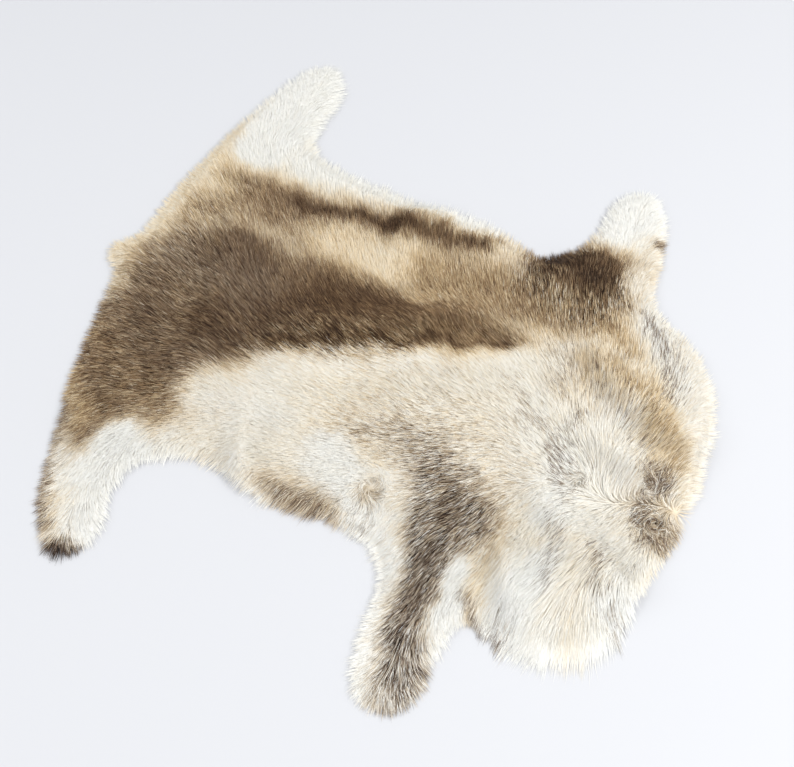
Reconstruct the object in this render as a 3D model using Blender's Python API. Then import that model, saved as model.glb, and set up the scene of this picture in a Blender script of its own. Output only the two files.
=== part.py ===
"""A reindeer hide laid out flat, hair side up: one skin with its pile, its four leg flaps and its tail.

Units are metres and +Z is up. +X runs along the back towards the neck, -Y is the near side, and the
origin is at the middle of the hide on the surface that it lies on. The hide is one solid: a lumpy
slab as thick as skin and pile, with soft waves where the skin lifts, and locks of hair at its rim.
"""

import math
import random
from collections import namedtuple

import bmesh
import bpy
from mathutils import Matrix, Vector, geometry, kdtree, noise

# Driving sizes
SKIN = 0.002
BODY_PILE = 0.023
RIM_SHARE = 0.36  # of the pile's depth, at the very edge
RIM_LEAST = 0.007
RIM_ROUNDING = 0.034
RIM_STEP = 0.0225
TOP_STEP = 0.023
UNDER_STEP = 0.031
INNER_RING = 0.012
RAGGED = 0.006
RAGGED_WAVE = 0.055
LUMP = 0.0038
LUMP_WAVE = 0.042
TUFT = 0.0018
TUFT_WAVE = 0.019
WANDER = 0.030  # how far a wave strays from a straight line
WANDER_WAVE = 0.17
END_DROP = 0.45  # of a wave's rise, towards its two ends
FLAT_BELOW = 0.0012  # a wave lower than this leaves the skin flat on the floor
LOCK_REACH = 0.030
LOCK_SPREAD = 0.35  # how much the locks' lengths and directions vary
LOCK_WAIST = 0.56  # size of a lock half way out, against its root
LOCKS_APART = 0.006
SEED = 7

COAT = (0.42, 0.35, 0.27, 1.0)
COAT_ROUGHNESS = 0.85

# The hide's edge, landmark by landmark: along the back and across it
Landmark = namedtuple("Landmark", "name along across")
NEAR_EDGE = (
    Landmark("tail tip", -0.650, 0.020),
    Landmark("tail root", -0.610, -0.020),
    Landmark("rump", -0.598, -0.090),
    Landmark("rump corner", -0.585, -0.210),
    Landmark("hind leg outer root", -0.566, -0.315),
    Landmark("hind leg outer middle", -0.530, -0.430),
    Landmark("hind leg outer end", -0.478, -0.555),
    Landmark("hind leg tip", -0.430, -0.605),
    Landmark("hind leg inner end", -0.388, -0.545),
    Landmark("hind leg inner middle", -0.400, -0.435),
    Landmark("groin", -0.350, -0.345),
    Landmark("flank", -0.235, -0.312),
    Landmark("belly", -0.105, -0.330),
    Landmark("belly front", 0.030, -0.315),
    Landmark("armpit", 0.125, -0.325),
    Landmark("foreleg back root", 0.172, -0.395),
    Landmark("foreleg back middle", 0.186, -0.490),
    Landmark("foreleg back end", 0.205, -0.585),
    Landmark("foreleg tip", 0.250, -0.616),
    Landmark("foreleg front end", 0.298, -0.575),
    Landmark("foreleg front middle", 0.303, -0.470),
    Landmark("foreleg front root", 0.338, -0.392),
    Landmark("brisket", 0.410, -0.372),
    Landmark("mane", 0.500, -0.362),
    Landmark("mane corner", 0.575, -0.298),
    Landmark("neck corner", 0.614, -0.180),
)
FAR_EDGE = (
    Landmark("neck middle", 0.630, -0.040),
    Landmark("neck", 0.618, 0.105),
    Landmark("neck corner", 0.588, 0.225),
    Landmark("throat", 0.508, 0.305),
    Landmark("foreleg front root", 0.425, 0.352),
    Landmark("foreleg front middle", 0.392, 0.450),
    Landmark("foreleg front end", 0.362, 0.560),
    Landmark("foreleg tip", 0.318, 0.606),
    Landmark("foreleg back end", 0.268, 0.562),
    Landmark("foreleg back middle", 0.258, 0.462),
    Landmark("foreleg back root", 0.228, 0.398),
    Landmark("armpit", 0.160, 0.358),
    Landmark("belly", 0.035, 0.378),
    Landmark("flank", -0.125, 0.362),
    Landmark("flank behind", -0.270, 0.372),
    Landmark("groin", -0.372, 0.390),
    Landmark("hind leg inner middle", -0.405, 0.460),
    Landmark("hind leg inner end", -0.402, 0.560),
    Landmark("hind leg tip", -0.440, 0.616),
    Landmark("hind leg outer end", -0.488, 0.565),
    Landmark("hind leg outer middle", -0.535, 0.450),
    Landmark("hind leg outer root", -0.568, 0.335),
    Landmark("rump corner", -0.588, 0.220),
    Landmark("rump", -0.600, 0.110),
    Landmark("tail root", -0.612, 0.056),
)

# Soft waves of the skin: a crest from one place to another, its half width and how high it lifts
Wave = namedtuple("Wave", "name x0 y0 x1 y1 width rise")
WAVES = (
    Wave("rump crest", -0.430, 0.270, -0.370, -0.190, 0.055, 0.036),
    Wave("bank behind the back crease", -0.245, 0.010, 0.150, 0.200, 0.042, 0.034),
    Wave("bank before the back crease", -0.185, -0.095, 0.160, 0.070, 0.042, 0.026),
    Wave("far shoulder", 0.180, 0.270, 0.300, 0.380, 0.045, 0.036),
    Wave("far flank", -0.110, 0.280, -0.055, 0.420, 0.036, 0.030),
    Wave("near flank", -0.215, -0.200, -0.150, -0.380, 0.038, 0.032),
    Wave("armpit pucker", 0.060, -0.250, 0.170, -0.205, 0.030, 0.028),
    Wave("upper neck", 0.360, 0.215, 0.600, 0.085, 0.036, 0.036),
    Wave("middle neck", 0.410, 0.035, 0.560, -0.020, 0.032, 0.032),
    Wave("lower neck", 0.370, -0.120, 0.600, -0.235, 0.038, 0.038),
    Wave("mane", 0.330, -0.235, 0.475, -0.400, 0.030, 0.028),
    Wave("near hind leg", -0.530, -0.260, -0.440, -0.480, 0.030, 0.013),
)

# Where the pile is deeper or shorter than on the body: middle, half sizes and depth
Pile = namedtuple("Pile", "name x y half_x half_y depth")
PILES = (
    Pile("rump", -0.53, 0.04, 0.09, 0.26, 0.028),
    Pile("neck", 0.52, 0.05, 0.14, 0.26, 0.034),
    Pile("mane", 0.48, -0.30, 0.16, 0.10, 0.040),
    Pile("near belly", -0.08, -0.31, 0.26, 0.06, 0.027),
    Pile("far belly", -0.06, 0.35, 0.32, 0.06, 0.029),
    Pile("near foreleg", 0.24, -0.53, 0.10, 0.11, 0.012),
    Pile("far foreleg", 0.32, 0.52, 0.10, 0.11, 0.012),
    Pile("near hind leg", -0.46, -0.52, 0.11, 0.12, 0.013),
    Pile("far hind leg", -0.46, 0.52, 0.11, 0.12, 0.013),
)


def clear_scene():
    for thing in list(bpy.data.objects):
        bpy.data.objects.remove(thing, do_unlink=True)


def smooth_loop(points, steps=14):
    """A closed curve through the points, as short straight pieces."""
    line = []
    for i in range(len(points)):
        before, here, after, beyond = (points[(i + k) % len(points)] for k in (-1, 0, 1, 2))
        for k in range(steps):
            t = k / steps
            turn = 2 * here + (after - before) * t
            turn += (2 * before - 5 * here + 4 * after - beyond) * t**2
            turn += (3 * here - before - 3 * after + beyond) * t**3
            line.append(turn / 2)
    return line


def evenly_spaced(loop, step):
    """The closed loop again, with points about one step apart."""
    ends = loop + loop[:1]
    walked = [0.0]
    for a, b in zip(ends, ends[1:]):
        walked.append(walked[-1] + (b - a).length)
    count = round(walked[-1] / step)
    spaced, piece = [], 0
    for i in range(count):
        target = walked[-1] * i / count
        while walked[piece + 1] < target:
            piece += 1
        share = (target - walked[piece]) / (walked[piece + 1] - walked[piece])
        spaced.append(ends[piece].lerp(ends[piece + 1], share))
    return spaced


def outward(loop, i):
    """The direction out of a loop that runs anticlockwise, at its point i."""
    ahead = loop[(i + 1) % len(loop)] - loop[i - 1]
    return Vector((ahead.y, -ahead.x)).normalized()


def hide_edge():
    """The hide's ragged edge, anticlockwise from the tail along the near side."""
    points = [Vector((mark.along, mark.across)) for mark in NEAR_EDGE + FAR_EDGE]
    even = evenly_spaced(smooth_loop(points), RIM_STEP)
    ragged = []
    for i, point in enumerate(even):
        push = RAGGED * noise.noise((point / RAGGED_WAVE).to_3d())
        ragged.append(point + push * outward(even, i))
    return ragged


def beside(point, x0, y0, x1, y1):
    """How far along the straight stretch between two places a point is, from 0 to 1, and how far off."""
    start, stretch = Vector((x0, y0)), Vector((x1 - x0, y1 - y0))
    share = (point - start).dot(stretch) / stretch.length_squared
    share = min(max(share, 0.0), 1.0)
    return share, (point - start - share * stretch).length


def strayed(point):
    """The point moved a little, by an amount that changes slowly, so that straight waves bend."""
    place = (point / WANDER_WAVE).to_3d()
    along = noise.noise(place)
    across = noise.noise(place + Vector((0.0, 0.0, 5.5)))
    return point + WANDER * Vector((along, across))


def skin_height(point):
    """How high the underside of the skin is off the floor."""
    place = strayed(point)
    lift = 0.0
    for wave in WAVES:
        share, off = beside(place, wave.x0, wave.y0, wave.x1, wave.y1)
        crest = wave.rise * (1 - END_DROP * (2 * share - 1) ** 2)
        lift += crest * math.exp(-((off / wave.width) ** 2))
    return max(0.0, lift - FLAT_BELOW)


def pile_depth(point):
    """The depth of the pile, away from the edge."""
    depth = BODY_PILE
    for pile in PILES:
        far = math.hypot((point.x - pile.x) / pile.half_x, (point.y - pile.y) / pile.half_y)
        depth += (pile.depth - BODY_PILE) * math.exp(-(far**4))
    lumps = LUMP * noise.noise((point / LUMP_WAVE).to_3d())
    tufts = TUFT * noise.noise((point / TUFT_WAVE).to_3d())
    return depth + (lumps + tufts) * depth / BODY_PILE


def thickness(point, from_edge):
    """Skin and pile together, rounded down towards the edge."""
    depth = pile_depth(point)
    at_edge = max(RIM_LEAST, RIM_SHARE * depth)
    share = min(1.0, from_edge / RIM_ROUNDING)
    return SKIN + at_edge + (depth - at_edge) * math.sqrt(1 - (1 - share) ** 2)


def edge_distance(loop):
    """A function that gives a point's distance from the hide's edge."""
    fine = evenly_spaced(loop, RIM_STEP / 6)
    tree = kdtree.KDTree(len(fine))
    for i, point in enumerate(fine):
        tree.insert(point.to_3d(), i)
    tree.balance()
    return lambda point: tree.find(point.to_3d())[2]


def filled(loop, rings, step, distance):
    """The area inside the loop as triangles: its points, the loop's first, and the triangles."""
    inner = []
    for inset in rings:
        for i, point in enumerate(loop):
            moved = point - inset * outward(loop, i)
            if distance(moved) > 0.9 * inset:
                inner.append(moved)
    clear = (rings[-1] if rings else 0.0) + 0.55 * step
    row_height = step * math.sqrt(3) / 2
    reach = max(max(abs(p.x), abs(p.y)) for p in loop)
    rows = math.ceil(reach / row_height)
    corner_list = [(p.x, p.y) for p in loop]
    for row in range(-rows, rows + 1):
        for column in range(-rows, rows + 1):
            point = Vector(((column + 0.5 * (row % 2)) * step, row * row_height))
            if inside(corner_list, point) and distance(point) > clear:
                inner.append(point)
    ring_edges = [(i, (i + 1) % len(loop)) for i in range(len(loop))]
    found = geometry.delaunay_2d_cdt(loop + inner, ring_edges, [], 1, 1e-6)
    return found[0], found[2]


def inside(corners, point):
    """Whether the point lies inside the outline."""
    crossings = False
    for (ax, ay), (bx, by) in zip(corners, corners[1:] + corners[:1]):
        if (ay > point.y) != (by > point.y):
            crossings ^= point.x < ax + (point.y - ay) / (by - ay) * (bx - ax)
    return crossings


def add_surface(mesh, points, faces, height, upward):
    """One face of the slab. It returns the new vertices."""
    corners = [mesh.verts.new((p.x, p.y, height(p))) for p in points]
    for face in faces:
        order = [corners[i] for i in face]
        turned = (order[1].co - order[0].co).cross(order[2].co - order[0].co).z > 0
        mesh.faces.new(order if turned == upward else order[::-1])
    return corners


def hide_slab(mesh, loop):
    """Builds the slab between its underside and the top of its pile. It returns the rim's faces."""
    distance = edge_distance(loop)

    def top_height(point):
        return skin_height(point) + thickness(point, distance(point))

    top = filled(loop, (INNER_RING,), TOP_STEP, distance)
    under = filled(loop, (), UNDER_STEP, distance)
    top_corners = add_surface(mesh, *top, top_height, True)
    under_corners = add_surface(mesh, *under, skin_height, False)
    rim = []
    for i in range(len(loop)):
        after = (i + 1) % len(loop)
        face = (under_corners[i], under_corners[after], top_corners[after], top_corners[i])
        rim.append(mesh.faces.new(face))
    return rim


def lock_directions(loop, random_draw):
    """For each stretch of rim, where its lock springs from and the way and distance it reaches."""
    locks = []
    for i, point in enumerate(loop):
        after = loop[(i + 1) % len(loop)]
        middle = (point + after) / 2
        ahead = (after - point).normalized()
        out = Vector((ahead.y, -ahead.x))
        backward = Vector((-1.0, 0.0))
        lean = backward + ahead * random_draw.uniform(-LOCK_SPREAD, LOCK_SPREAD)
        way = (out + 0.35 * lean).normalized()
        depth = pile_depth(middle)
        length = LOCK_REACH * depth / BODY_PILE * random_draw.uniform(1 - LOCK_SPREAD, 1)
        locks.append([middle, way, length])
    return locks


def keep_locks_apart(locks):
    """Shortens locks in the hollows of the outline until no two come close."""
    nearby = [[] for _ in locks]
    for i, (middle, _, _) in enumerate(locks):
        for j in range(i):
            if (locks[j][0] - middle).length < 4 * LOCK_REACH:
                nearby[i].append(j)
                nearby[j].append(i)
    for i, (middle, way, length) in enumerate(locks):
        while length > LOCK_REACH / 6:
            gaps = [points_apart(locks[i], locks[j]) for j in nearby[i]]
            if min(gaps) > LOCKS_APART:
                break
            length *= 0.85
            locks[i][2] = length


def points_apart(lock, other):
    """The least distance between the outer two thirds of two locks."""
    least = math.inf
    for share in (0.34, 0.6, 0.8, 1.0):
        tip = lock[0] + lock[1] * lock[2] * share
        end = other[0] + other[1] * other[2]
        least = min(least, beside(tip, *other[0], *end)[1])
    return least


def grow_locks(mesh, rim, locks):
    """Draws each face of the rim out into a lock that tapers to a point and lies on the floor."""
    for face, (middle, way, length) in zip(rim, locks):
        root = face.calc_center_median()
        grown = bmesh.ops.extrude_discrete_faces(mesh, faces=[face])["faces"][0]
        floor = min(corner.co.z for corner in grown.verts)
        bmesh.ops.scale(
            mesh,
            vec=Vector((LOCK_WAIST, LOCK_WAIST, LOCK_WAIST)),
            space=Matrix.Translation(-root),
            verts=grown.verts,
        )
        drop = floor - min(corner.co.z for corner in grown.verts)
        step = (way * length / 2).to_3d() + Vector((0, 0, drop))
        bmesh.ops.translate(mesh, vec=step, verts=grown.verts)
        tip = bmesh.ops.poke(mesh, faces=[grown])["verts"][0]
        end = middle + way * length
        tip.co = (end.x, end.y, floor + SKIN)


def coat_material():
    material = bpy.data.materials.new("coat")
    material.use_nodes = True
    shader = material.node_tree.nodes["Principled BSDF"]
    shader.inputs["Base Color"].default_value = COAT
    shader.inputs["Roughness"].default_value = COAT_ROUGHNESS
    shader.inputs["Metallic"].default_value = 0.0
    return material


def reindeer_hide():
    """The one solid: skin, pile and rim locks."""
    mesh = bmesh.new()
    loop = hide_edge()
    rim = hide_slab(mesh, loop)
    locks = lock_directions(loop, random.Random(SEED))
    keep_locks_apart(locks)
    grow_locks(mesh, rim, locks)
    data = bpy.data.meshes.new("hide")
    mesh.to_mesh(data)
    mesh.free()
    data.shade_smooth()
    data.materials.append(coat_material())
    hide = bpy.data.objects.new("hide", data)
    bpy.context.scene.collection.objects.link(hide)
    return hide


clear_scene()
reindeer_hide()
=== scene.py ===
import math
from collections import namedtuple

import bpy
import numpy as np
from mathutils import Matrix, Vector, geometry, kdtree, noise


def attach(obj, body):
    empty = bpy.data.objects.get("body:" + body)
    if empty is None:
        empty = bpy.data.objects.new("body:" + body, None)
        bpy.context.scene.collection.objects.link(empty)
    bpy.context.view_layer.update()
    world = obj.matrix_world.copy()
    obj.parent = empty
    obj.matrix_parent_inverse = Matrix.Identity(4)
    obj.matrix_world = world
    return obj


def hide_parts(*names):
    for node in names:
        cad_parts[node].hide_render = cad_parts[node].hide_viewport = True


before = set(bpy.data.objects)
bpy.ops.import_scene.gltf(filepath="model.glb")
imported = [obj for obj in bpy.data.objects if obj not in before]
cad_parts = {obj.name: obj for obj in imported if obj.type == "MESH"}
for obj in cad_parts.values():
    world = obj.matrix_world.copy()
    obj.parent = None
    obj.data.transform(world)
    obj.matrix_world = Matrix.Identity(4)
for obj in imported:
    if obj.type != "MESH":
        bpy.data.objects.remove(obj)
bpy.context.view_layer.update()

# ---------------------------------------------------------------------------------------------
# The tanned skin. One reindeer's hide, split along the belly and laid out hair side up, with its
# four leg skins and its tail left on. It is soft white leather about 2 mm thick, and it lies flat
# on the floor but for some low waves. Its edge is the part's own edge, a little way in.
# ---------------------------------------------------------------------------------------------
SKIN = 0.002
CUT_INSIDE = 0.007  # from the edge of the pile to the cut edge of the skin
SKIN_STEP = 0.0145
RIM_STEP = 0.0225
FINE_STEP = RIM_STEP / 6  # along the edge, for taking distances from it
RAGGED = 0.006
RAGGED_WAVE = 0.055
WANDER = 0.030
WANDER_WAVE = 0.17
END_DROP = 0.45  # of a wave's rise, gone at its two ends
FLAT_BELOW = 0.0012  # waves lower than this lie flat
CLEAR_OF_EDGE = 0.6  # of the spacing of a layer's inner points
TOUCHING = 1e-6
TINY = 1e-9
LEATHER = (0.62, 0.53, 0.41, 1.0)
LEATHER_DARK = (0.47, 0.38, 0.27, 1.0)

Landmark = namedtuple("Landmark", "name along across")
NEAR_EDGE = (
    Landmark("tail tip", -0.650, 0.020),
    Landmark("tail root", -0.610, -0.020),
    Landmark("rump", -0.598, -0.090),
    Landmark("rump corner", -0.585, -0.210),
    Landmark("hind leg outer root", -0.566, -0.315),
    Landmark("hind leg outer middle", -0.530, -0.430),
    Landmark("hind leg outer end", -0.478, -0.555),
    Landmark("hind leg tip", -0.430, -0.605),
    Landmark("hind leg inner end", -0.388, -0.545),
    Landmark("hind leg inner middle", -0.400, -0.435),
    Landmark("groin", -0.350, -0.345),
    Landmark("flank", -0.235, -0.312),
    Landmark("belly", -0.105, -0.330),
    Landmark("belly front", 0.030, -0.315),
    Landmark("armpit", 0.125, -0.325),
    Landmark("foreleg back root", 0.172, -0.395),
    Landmark("foreleg back middle", 0.186, -0.490),
    Landmark("foreleg back end", 0.205, -0.585),
    Landmark("foreleg tip", 0.250, -0.616),
    Landmark("foreleg front end", 0.298, -0.575),
    Landmark("foreleg front middle", 0.303, -0.470),
    Landmark("foreleg front root", 0.338, -0.392),
    Landmark("brisket", 0.410, -0.372),
    Landmark("mane", 0.500, -0.362),
    Landmark("mane corner", 0.575, -0.298),
    Landmark("neck corner", 0.614, -0.180),
)
FAR_EDGE = (
    Landmark("neck middle", 0.630, -0.040),
    Landmark("neck", 0.618, 0.105),
    Landmark("neck corner", 0.588, 0.225),
    Landmark("throat", 0.508, 0.305),
    Landmark("foreleg front root", 0.425, 0.352),
    Landmark("foreleg front middle", 0.392, 0.450),
    Landmark("foreleg front end", 0.362, 0.560),
    Landmark("foreleg tip", 0.318, 0.606),
    Landmark("foreleg back end", 0.268, 0.562),
    Landmark("foreleg back middle", 0.258, 0.462),
    Landmark("foreleg back root", 0.228, 0.398),
    Landmark("armpit", 0.160, 0.358),
    Landmark("belly", 0.035, 0.378),
    Landmark("flank", -0.125, 0.362),
    Landmark("flank behind", -0.270, 0.372),
    Landmark("groin", -0.372, 0.390),
    Landmark("hind leg inner middle", -0.405, 0.460),
    Landmark("hind leg inner end", -0.402, 0.560),
    Landmark("hind leg tip", -0.440, 0.616),
    Landmark("hind leg outer end", -0.488, 0.565),
    Landmark("hind leg outer middle", -0.535, 0.450),
    Landmark("hind leg outer root", -0.568, 0.335),
    Landmark("rump corner", -0.588, 0.220),
    Landmark("rump", -0.600, 0.110),
    Landmark("tail root", -0.612, 0.056),
)
Wave = namedtuple("Wave", "name x0 y0 x1 y1 width rise")
WAVES = (
    Wave("rump crest", -0.430, 0.270, -0.370, -0.190, 0.055, 0.036),
    Wave("bank behind the back crease", -0.245, 0.010, 0.150, 0.200, 0.042, 0.034),
    Wave("bank before the back crease", -0.185, -0.095, 0.160, 0.070, 0.042, 0.026),
    Wave("far shoulder", 0.180, 0.270, 0.300, 0.380, 0.045, 0.036),
    Wave("far flank", -0.110, 0.280, -0.055, 0.420, 0.036, 0.030),
    Wave("near flank", -0.215, -0.200, -0.150, -0.380, 0.038, 0.032),
    Wave("armpit pucker", 0.060, -0.250, 0.170, -0.205, 0.030, 0.028),
    Wave("upper neck", 0.360, 0.215, 0.600, 0.085, 0.036, 0.036),
    Wave("middle neck", 0.410, 0.035, 0.560, -0.020, 0.032, 0.032),
    Wave("lower neck", 0.370, -0.120, 0.600, -0.235, 0.038, 0.038),
    Wave("mane", 0.330, -0.235, 0.475, -0.400, 0.030, 0.028),
    Wave("near hind leg", -0.530, -0.260, -0.440, -0.480, 0.030, 0.013),
)


def smooth_loop(points, steps=14):
    """A closed curve through the points, as short straight pieces."""
    line = []
    for i in range(len(points)):
        before, here, after, beyond = (points[(i + k) % len(points)] for k in (-1, 0, 1, 2))
        for k in range(steps):
            t = k / steps
            turn = 2 * here + (after - before) * t
            turn += (2 * before - 5 * here + 4 * after - beyond) * t**2
            turn += (3 * here - before - 3 * after + beyond) * t**3
            line.append(turn / 2)
    return line


def evenly_spaced(loop, step):
    """The closed loop again, with points about one step apart."""
    ends = loop + loop[:1]
    walked = [0.0]
    for a, b in zip(ends, ends[1:]):
        walked.append(walked[-1] + (b - a).length)
    count = round(walked[-1] / step)
    spaced, piece = [], 0
    for i in range(count):
        target = walked[-1] * i / count
        while walked[piece + 1] < target:
            piece += 1
        share = (target - walked[piece]) / (walked[piece + 1] - walked[piece])
        spaced.append(ends[piece].lerp(ends[piece + 1], share))
    return spaced


def outward(loop, i):
    """The direction out of a loop that runs anticlockwise, at its point i."""
    ahead = loop[(i + 1) % len(loop)] - loop[i - 1]
    return Vector((ahead.y, -ahead.x)).normalized()


def hide_edge():
    """The hide's ragged edge, anticlockwise from the tail along the near side."""
    points = [Vector((mark.along, mark.across)) for mark in NEAR_EDGE + FAR_EDGE]
    even = evenly_spaced(smooth_loop(points), RIM_STEP)
    ragged = []
    for i, point in enumerate(even):
        push = RAGGED * noise.noise((point / RAGGED_WAVE).to_3d())
        ragged.append(point + push * outward(even, i))
    return ragged


# What changes over the hide is worked out on a square net of places, and read between them.
NET = 0.004
NET_X = 0.80
NET_Y = 0.76
net_x = np.arange(-NET_X, NET_X, NET)
net_y = np.arange(-NET_Y, NET_Y, NET)
X, Y = np.meshgrid(net_x, net_y, indexing="ij")


def read(field, x, y):
    """The field's values at any places, from the four net places round each."""
    u = np.clip((x + NET_X) / NET, 0, len(net_x) - 1.001)
    v = np.clip((y + NET_Y) / NET, 0, len(net_y) - 1.001)
    i, j = u.astype(int), v.astype(int)
    u, v = u - i, v - j
    low = field[i, j] * (1 - v) + field[i, j + 1] * v
    high = field[i + 1, j] * (1 - v) + field[i + 1, j + 1] * v
    return low * (1 - u) + high * u


def ripple(wave, at=0.0):
    """Smooth noise of this wavelength over the net, from about -0.7 to 0.7. at picks the noise."""
    places = zip((X / wave).ravel().tolist(), (Y / wave).ravel().tolist())
    values = [noise.noise((a, b, at)) for a, b in places]
    return np.array(values).reshape(X.shape)


def beside(x, y, x0, y0, x1, y1):
    """For each place, how far along a stretch it lies, from 0 to 1, and how far off it."""
    run, rise = x1 - x0, y1 - y0
    length = max(run * run + rise * rise, 1e-12)
    share = np.clip(((x - x0) * run + (y - y0) * rise) / length, 0, 1)
    return share, np.hypot(x - x0 - share * run, y - y0 - share * rise)


def edge_distance(loop):
    """How far each net place is inside the edge, negative outside it."""
    fine = evenly_spaced(loop, FINE_STEP)
    tree = kdtree.KDTree(len(fine))
    for i, point in enumerate(fine):
        tree.insert(point.to_3d(), i)
    tree.balance()
    places = zip(X.ravel().tolist(), Y.ravel().tolist())
    far = np.array([tree.find((a, b, 0))[2] for a, b in places]).reshape(X.shape)
    within = np.zeros(X.shape, bool)
    for a, b in zip(loop, loop[1:] + loop[:1]):
        level = (a.y > Y) != (b.y > Y)
        within ^= level & (X < a.x + (Y - a.y) / ((b.y - a.y) or 1e-12) * (b.x - a.x))
    return np.where(within, far, -far)


def wave_lift():
    """How high the waves hold the skin off the floor."""
    x = X + WANDER * ripple(WANDER_WAVE)
    y = Y + WANDER * ripple(WANDER_WAVE, 5.5)
    lift = np.zeros(X.shape)
    for wave in WAVES:
        share, off = beside(x, y, wave.x0, wave.y0, wave.x1, wave.y1)
        crest = wave.rise * (1 - END_DROP * (2 * share - 1) ** 2)
        lift += crest * np.exp(-((off / wave.width) ** 2))
    return np.maximum(0.0, lift - FLAT_BELOW)


edge = hide_edge()
inside = edge_distance(edge)
lift = wave_lift()


def mesh_object(name, places, corners, sizes):
    """A new object from vertex places, the corners of face after face, and each face's size."""
    data = bpy.data.meshes.new(name)
    data.vertices.add(len(places))
    data.vertices.foreach_set("co", np.ascontiguousarray(places, np.float32).ravel())
    data.loops.add(len(corners))
    data.loops.foreach_set("vertex_index", np.ascontiguousarray(corners, np.int32))
    data.polygons.add(len(sizes))
    starts = np.concatenate(([0], np.cumsum(sizes)[:-1]))
    data.polygons.foreach_set("loop_start", starts.astype(np.int32))
    data.update(calc_edges=True)
    made = bpy.data.objects.new(name, data)
    bpy.context.scene.collection.objects.link(made)
    return made


def layer(name, inset, top_step, under_step, top, under):
    """A closed layer over the hide between two fields of heights, cut this far inside the edge."""
    step = min(top_step, under_step)
    loop = evenly_spaced(edge, step)
    loop = [point - inset * outward(loop, i) for i, point in enumerate(loop)]
    count = len(loop)
    ring = [(i, (i + 1) % count) for i in range(count)]
    places, corners = [], []
    for spacing, height, upward in ((top_step, top, True), (under_step, under, False)):
        rows = np.arange(-NET_Y, NET_Y, spacing * math.sqrt(3) / 2)
        across = np.arange(-NET_X, NET_X, spacing)
        px, py = np.meshgrid(across, rows)
        px = px + 0.5 * spacing * (np.arange(len(rows)) % 2)[:, None]
        kept = read(inside, px, py) > inset + CLEAR_OF_EDGE * spacing
        points = loop + [Vector(p) for p in zip(px[kept].tolist(), py[kept].tolist())]
        found = geometry.delaunay_2d_cdt(points, ring, [], 1, TOUCHING)
        flat = np.array([tuple(p) for p in found[0]])
        faces = np.array(found[2])
        a, b, c = (flat[faces[:, k]] for k in range(3))
        turned = (b - a)[:, 0] * (c - a)[:, 1] - (b - a)[:, 1] * (c - a)[:, 0] > 0
        faces[turned != upward] = faces[turned != upward][:, ::-1]
        corners.append((faces + sum(len(p) for p in places)).ravel())
        z = read(height, flat[:, 0], flat[:, 1])
        places.append(np.column_stack((flat, z)))
    here, after = np.arange(count), (np.arange(count) + 1) % count
    below = len(places[0])
    wall = np.column_stack((below + here, below + after, after, here))
    sizes = [3] * (sum(len(c) for c in corners) // 3) + [4] * count
    corners.append(wall.ravel())
    made = mesh_object(name, np.concatenate(places), np.concatenate(corners), sizes)
    made.data.shade_smooth()
    return made


class Wire:
    """A socket that can be used in a sum: each operator adds its Math node."""

    def __init__(self, nodes, socket):
        self.nodes = nodes
        self.socket = socket

    def maths(self, operation, first, second):
        return self.nodes.add("ShaderNodeMath", {"operation": operation}, {0: first, 1: second})

    def __add__(self, other):
        return self.maths("ADD", self, other)

    def __mul__(self, other):
        return self.maths("MULTIPLY", self, other)

    __radd__ = __add__
    __rmul__ = __mul__


class Finish:
    """A new material, whose nodes are added one by one."""

    def __init__(self, name):
        self.material = bpy.data.materials.new(name)
        self.material.use_nodes = True
        self.tree = self.material.node_tree
        self.surface = self.tree.nodes["Principled BSDF"]

    def put(self, socket, value):
        """Joins a wire to the socket, or sets its number or colour."""
        if isinstance(value, Wire):
            self.tree.links.new(value.socket, socket)
        else:
            socket.default_value = value

    def add(self, kind, settings=None, inputs=None, output=0):
        """Adds a node with its settings and inputs. It returns one of its outputs as a wire."""
        node = self.tree.nodes.new(kind)
        for name, value in (settings or {}).items():
            if name == "stops":
                self.stops(node.color_ramp, value)
            else:
                setattr(node, name, value)
        for name, value in (inputs or {}).items():
            self.put(node.inputs[name], value)
        return Wire(self, node.outputs[output])

    def stops(self, ramp, stops):
        """Gives a colour ramp its places and colours."""
        while len(ramp.elements) < len(stops):
            ramp.elements.new(1.0)
        for element, (place, colour) in zip(ramp.elements, stops):
            element.position = place
            element.color = colour

    def shine(self, **values):
        """Sets the surface's inputs, each named with _ for a space."""
        for name, value in values.items():
            self.put(self.surface.inputs[name.replace("_", " ")], value)


def leather_finish():
    """Pale suede, a little cloudy, with a fine grain."""
    finish = Finish("tanned_leather")
    place = finish.add("ShaderNodeTexCoord", output="Object")
    cloud = finish.add("ShaderNodeTexNoise", {}, {"Vector": place, "Scale": 9.0, "Detail": 5.0})
    grain = finish.add("ShaderNodeTexVoronoi", {}, {"Vector": place, "Scale": 900.0})
    stops = ((0.35, LEATHER_DARK), (0.62, LEATHER))
    colour = finish.add("ShaderNodeValToRGB", {"stops": stops}, {"Fac": cloud})
    height = 0.7 * grain + 0.8 * cloud
    dents = {"Height": height, "Strength": 0.25, "Distance": 0.0004}
    bump = finish.add("ShaderNodeBump", {}, dents)
    finish.shine(Base_Color=colour, Roughness=0.7 + 0.2 * cloud, Normal=bump)
    return finish.material


skin = layer("skin", CUT_INSIDE, SKIN_STEP, SKIN_STEP, lift + SKIN, lift)
skin.data.materials.append(leather_finish())
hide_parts("hide")
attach(skin, "root")

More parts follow.
